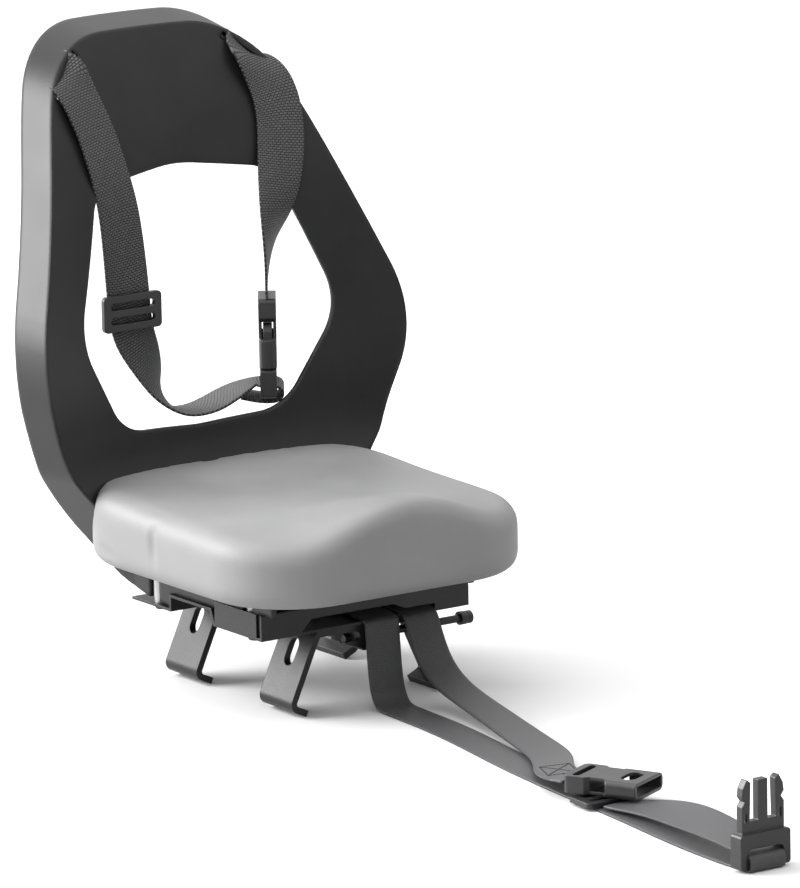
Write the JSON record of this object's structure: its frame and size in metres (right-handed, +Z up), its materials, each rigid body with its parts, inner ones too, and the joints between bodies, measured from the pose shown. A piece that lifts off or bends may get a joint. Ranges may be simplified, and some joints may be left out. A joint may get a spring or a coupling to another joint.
{
  "type": "rear child bike seat",
  "caption": "Rear child bike seat: hollow moulded backrest with an opening, foam cushion, steel tray with sliding carrier hooks, chest and safety webbing",
  "frame": {"origin": "on the ground, midway between the four carrier hooks", "axes": "+X the child's left, -Y forward, +Z up"},
  "size_m": [0.3387, 0.8825, 0.4858],
  "materials": {
    "shell_plastic": "near-black satin moulded polymer",
    "cushion_skin": "mid grey skinned foam, fine grain",
    "black_steel": "black powder coat",
    "dark_steel": "black oxide",
    "zinc_steel": "zinc plated",
    "chest_webbing": "coarse ribbed black webbing",
    "safety_webbing": "smooth dark grey webbing",
    "buckle_plastic": "black acetal"
  },
  "bodies": {
    "seat": {"back_shell": "shell_plastic", "seat_cushion": "cushion_skin", "base_tray": "black_steel", "tray_spacers": "zinc_steel", "tray_screws": "dark_steel", "hook_guide_screws": "dark_steel", "right_strap_bar": "zinc_steel", "left_strap_bar": "zinc_steel", "right_chest_strap": "chest_webbing", "left_chest_strap": "chest_webbing", "chest_strap_slider": "buckle_plastic", "chest_buckle_female": "buckle_plastic", "chest_buckle_male": "buckle_plastic", "safety_strap_fixed": "safety_webbing", "safety_strap_adjust": "safety_webbing", "safety_strap_slider": "buckle_plastic", "safety_buckle_female": "buckle_plastic", "safety_buckle_male": "buckle_plastic"},
    "front_right_hook_body": {"front_right_hook": "black_steel", "front_clamp_nut": "dark_steel"},
    "front_left_hook_body": {"front_left_hook": "black_steel"},
    "front_clamp_bush_body": {"front_clamp_bush": "buckle_plastic"},
    "front_clamp_bolt_body": {"front_clamp_bolt": "dark_steel"},
    "rear_right_hook_body": {"rear_right_hook": "black_steel", "rear_clamp_nut": "dark_steel"},
    "rear_left_hook_body": {"rear_left_hook": "black_steel"},
    "rear_clamp_bush_body": {"rear_clamp_bush": "buckle_plastic"},
    "rear_clamp_bolt_body": {"rear_clamp_bolt": "dark_steel"}
  },
  "joints": [
    {"name": "front_right_hook_slide", "type": "slide", "parent": "seat", "child": "front_right_hook_body", "axis": [1, 0, 0], "range_m": [-0.01, 0.003]},
    {"name": "front_left_hook_slide", "type": "slide", "parent": "seat", "child": "front_left_hook_body", "axis": [1, 0, 0], "range_m": [-0.005, 0.01]},
    {"name": "front_clamp_bush_travel", "type": "slide", "parent": "front_right_hook_body", "child": "front_clamp_bush_body", "axis": [-1, 0, 0], "range_m": [0, 0.055]},
    {"name": "front_clamp_bolt_turn", "type": "hinge", "parent": "front_clamp_bush_body", "child": "front_clamp_bolt_body", "pos_m": [0.104, -0.0645, 0.048], "axis": [-1, 0, 0], "range_deg": [0, 19800]},
    {"name": "rear_right_hook_slide", "type": "slide", "parent": "seat", "child": "rear_right_hook_body", "axis": [1, 0, 0], "range_m": [-0.01, 0.003]},
    {"name": "rear_left_hook_slide", "type": "slide", "parent": "seat", "child": "rear_left_hook_body", "axis": [1, 0, 0], "range_m": [-0.005, 0.01]},
    {"name": "rear_clamp_bush_travel", "type": "slide", "parent": "rear_right_hook_body", "child": "rear_clamp_bush_body", "axis": [-1, 0, 0], "range_m": [0, 0.055]},
    {"name": "rear_clamp_bolt_turn", "type": "hinge", "parent": "rear_clamp_bush_body", "child": "rear_clamp_bolt_body", "pos_m": [0.104, 0.0645, 0.048], "axis": [-1, 0, 0], "range_deg": [0, 19800]}
  ],
  "couplings": [
    {"joint": "front_clamp_bolt_turn", "follows": "front_clamp_bush_travel", "rad_per_m": 6283.2},
    {"joint": "rear_clamp_bolt_turn", "follows": "rear_clamp_bush_travel", "rad_per_m": 6283.2}
  ]
}
